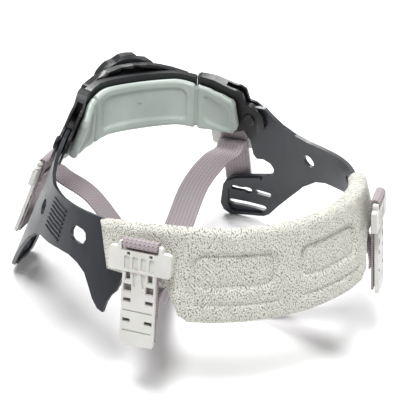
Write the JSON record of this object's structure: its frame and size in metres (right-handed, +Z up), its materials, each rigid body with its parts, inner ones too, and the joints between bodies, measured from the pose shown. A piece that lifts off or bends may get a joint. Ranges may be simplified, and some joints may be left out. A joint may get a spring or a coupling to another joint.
{
  "type": "ratchet suspension headgear of a miner's safety cap",
  "caption": "Suspension headgear of a miner's safety cap: flared band with terry brow pad, swinging nape strap, ratchet knob, crossing webbing and shell keys, crown side down.",
  "frame": {"origin": "middle of the bounding box's bottom face, on the surface that the headgear rests on, crown side down", "axes": "+Z up towards the side the head enters, +Y from the brow to the nape, +X towards one ear"},
  "size_m": [0.1898, 0.2281, 0.1239],
  "materials": {
    "charcoal_nylon": "satin",
    "black_nylon": "satin",
    "white_nylon": "satin",
    "terry": "looped",
    "foam": "open cell",
    "nape_vinyl": "soft vinyl",
    "webbing": "woven",
    "zinc_steel": "zinc plated"
  },
  "bodies": {
    "headgear": {"headband": "charcoal_nylon", "brow_pad": "terry", "brow_foam": "foam", "pivot_pin_right": "black_nylon", "pivot_pin_left": "black_nylon", "key_front_right": "white_nylon", "key_front_left": "white_nylon", "key_rear_right": "white_nylon", "key_rear_left": "white_nylon", "key_loop_front_right": "webbing", "key_loop_front_left": "webbing", "key_loop_rear_right": "webbing", "key_loop_rear_left": "webbing", "crown_strap_upper": "webbing", "crown_strap_lower": "webbing"},
    "nape": {"nape_strap_right": "black_nylon", "nape_strap_left": "black_nylon", "nape_pad": "nape_vinyl", "ratchet_base": "black_nylon", "ratchet_cover": "black_nylon", "detent_spring": "white_nylon", "housing_screw_right": "zinc_steel", "housing_screw_left": "zinc_steel"},
    "size_knob": {"knob": "black_nylon", "pinion": "white_nylon", "knob_screw": "zinc_steel"},
    "rack_upper": {"rack_right": "black_nylon"},
    "rack_lower": {"rack_left": "black_nylon"}
  },
  "joints": [
    {"name": "nape_swing", "type": "hinge", "parent": "headgear", "child": "nape", "pos_m": [0, 0.05016, 0.09097], "axis": [1, 0, 0], "range_deg": [-5, 5]},
    {"name": "knob_turn", "type": "hinge", "parent": "nape", "child": "size_knob", "pos_m": [0, 0.09065, 0.09847], "axis": [0, 1, 0], "range_deg": [-90, 90]},
    {"name": "rack_upper_slide", "type": "hinge", "parent": "nape", "child": "rack_upper", "pos_m": [0, 0.01265, 0.09847], "axis": [0, 0, 1], "range_deg": [-7, 7]},
    {"name": "rack_lower_slide", "type": "hinge", "parent": "nape", "child": "rack_lower", "pos_m": [0, 0.01265, 0.09847], "axis": [0, 0, 1], "range_deg": [-7, 7]}
  ],
  "couplings": [
    {"joint": "rack_upper_slide", "follows": "knob_turn", "ratio": -0.076923},
    {"joint": "rack_lower_slide", "follows": "knob_turn", "ratio": 0.076923}
  ]
}
